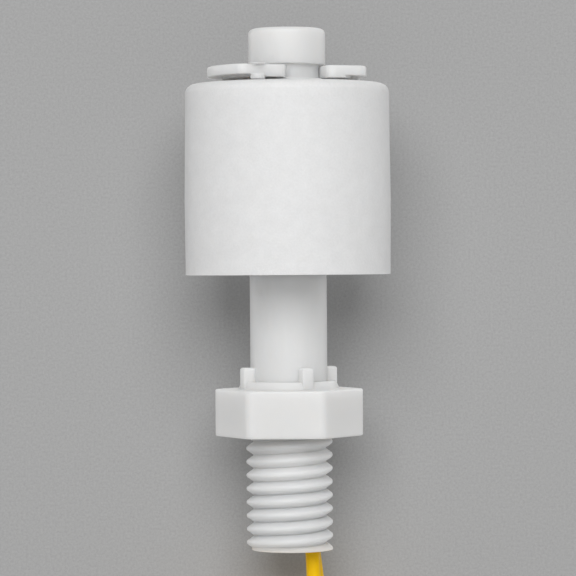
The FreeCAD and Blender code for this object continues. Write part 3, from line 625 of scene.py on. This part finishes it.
def paper_material():
    """Grey paper with a fine grain, seen only from the front. It takes shadow and fades at its rim."""
    material = blank_material("backdrop_paper")
    tree = material.node_tree
    place = tree.nodes.new("ShaderNodeTexCoord").outputs["Object"]
    grain = noise(tree, place, PAPER_GRAINS, detail=3.0, roughness=0.85)
    tone = math_node(tree, "ADD", math_node(tree, "MULTIPLY", grain, 2 * PAPER_GRAIN_DEPTH * BACKGROUND),
                     (1 - PAPER_GRAIN_DEPTH) * BACKGROUND)
    distance = tree.nodes.new("ShaderNodeVectorMath")
    distance.operation = "LENGTH"
    tree.links.new(place, distance.inputs[0])
    whole = fade_out(tree, distance.outputs["Value"], PAPER_FADE, PAPER_RADIUS)
    front = math_node(tree, "SUBTRACT", 1.0, backfacing(tree))
    shown = math_node(tree, "MULTIPLY", math_node(tree, "MULTIPLY", seen_directly(tree), front), whole)
    show(tree, mix_shaders(tree, shown, shader_node(tree, "BsdfTransparent"),
                           shader_node(tree, "BsdfDiffuse", Color=tone)))
    return material


def floor_material():
    """A plain floor in the backdrop's tone, with the object's shadow on it. From below it hides nothing."""
    material = blank_material("floor_paper")
    tree = material.node_tree
    bounce = shader_node(tree, "BsdfDiffuse", Color=grey(FLOOR_BOUNCE))
    shade = shader_node(tree, "BsdfDiffuse", Color=grey(FLOOR_SHADE))
    glow = shader_node(tree, "Emission", Strength=BACKGROUND - FLOOR_SHADE * FLOOR_LIGHT)
    seen = tree.nodes.new("ShaderNodeAddShader")
    tree.links.new(shade, seen.inputs[0])
    tree.links.new(glow, seen.inputs[1])
    topside = mix_shaders(tree, seen_directly(tree), bounce, seen.outputs["Shader"])
    show(tree, mix_shaders(tree, backfacing(tree), topside, shader_node(tree, "BsdfTransparent")))
    return material


def add_disc(name, radius, turn, material):
    """A flat disc, turned about the X axis from lying face up."""
    shape = bmesh.new()
    bmesh.ops.create_circle(shape, cap_ends=True, segments=DISC_SIDES, radius=radius)
    shape.transform(Matrix.Rotation(turn, 4, "X"))
    mesh = bpy.data.meshes.new(name)
    shape.to_mesh(mesh)
    shape.free()
    mesh.materials.append(material)
    disc = bpy.data.objects.new(name, mesh)
    bpy.context.scene.collection.objects.link(disc)
    return disc


backdrop = add_disc("backdrop", PAPER_RADIUS, math.pi / 2, paper_material())
backdrop.location = PAPER_PLACE
backdrop.rotation_euler.x = math.radians(-PAPER_LEAN)
floor = add_disc("floor", FLOOR_RADIUS, 0.0, floor_material())
floor.location.z = cad_box[0].z - FLOOR_GAP


# ---- light, in metres and watts ----
WORLD_LIGHT = 0.23
LIGHT_AIM = Vector((0.0, 0.0, 0.01))


def make_world():
    """Soft light from all round, which the camera sees in the backdrop's tone."""
    world = bpy.data.worlds.new("studio")
    world.use_nodes = True
    tree = world.node_tree
    tree.nodes.clear()
    lit = shader_node(tree, "Background", Color=grey(1.0), Strength=WORLD_LIGHT)
    seen = shader_node(tree, "Background", Color=grey(BACKGROUND), Strength=1.0)
    path = tree.nodes.new("ShaderNodeLightPath")
    share = math_node(tree, "MAXIMUM", path.outputs["Is Camera Ray"], path.outputs["Is Transmission Ray"])
    show(tree, mix_shaders(tree, share, lit, seen), "OutputWorld")
    bpy.context.scene.world = world


def add_softbox(name, place, width, height, power):
    """A rectangular soft light that faces the switch and isn't seen itself."""
    data = bpy.data.lights.new(name, "AREA")
    data.shape = "RECTANGLE"
    data.size = width
    data.size_y = height
    data.energy = power
    box = bpy.data.objects.new(name, data)
    bpy.context.scene.collection.objects.link(box)
    box.location = place
    box.visible_camera = False
    box.rotation_mode = "QUATERNION"
    box.rotation_quaternion = (LIGHT_AIM - Vector(place)).to_track_quat("-Z", "Y")


make_world()
add_softbox("high_softbox", (-0.02, -0.65, 0.4), 0.7, 0.5, 4.65)
add_softbox("left_rim_softbox", (-0.5, 0.3, 0.14), 0.4, 0.3, 0.35)
add_softbox("right_rim_softbox", (0.5, 0.3, 0.14), 0.4, 0.3, 0.5)
add_softbox("back_softbox", (0.1, 0.75, 0.45), 0.6, 0.6, 1.8)


# ---- camera, in metres and degrees ----
CAMERA_PLACE = (-0.00003, -0.335, 0.0193)
CAMERA_LENS = 187.3
CAMERA_DIP = 0.478  # below level
CAMERA_ROLL = -0.4


def make_camera():
    """A long-lens view of the front, tipped down a little."""
    data = bpy.data.cameras.new("camera")
    data.sensor_width = 36.0
    data.lens = CAMERA_LENS
    camera = bpy.data.objects.new("camera", data)
    bpy.context.scene.collection.objects.link(camera)
    camera.location = CAMERA_PLACE
    tip = Matrix.Rotation(math.radians(90.0 - CAMERA_DIP), 3, "X")
    roll = Matrix.Rotation(math.radians(CAMERA_ROLL), 3, "Z")
    camera.rotation_mode = "QUATERNION"
    camera.rotation_quaternion = (tip @ roll).to_quaternion()
    bpy.context.scene.camera = camera


make_camera()
bpy.context.scene.view_settings.view_transform = "Standard"
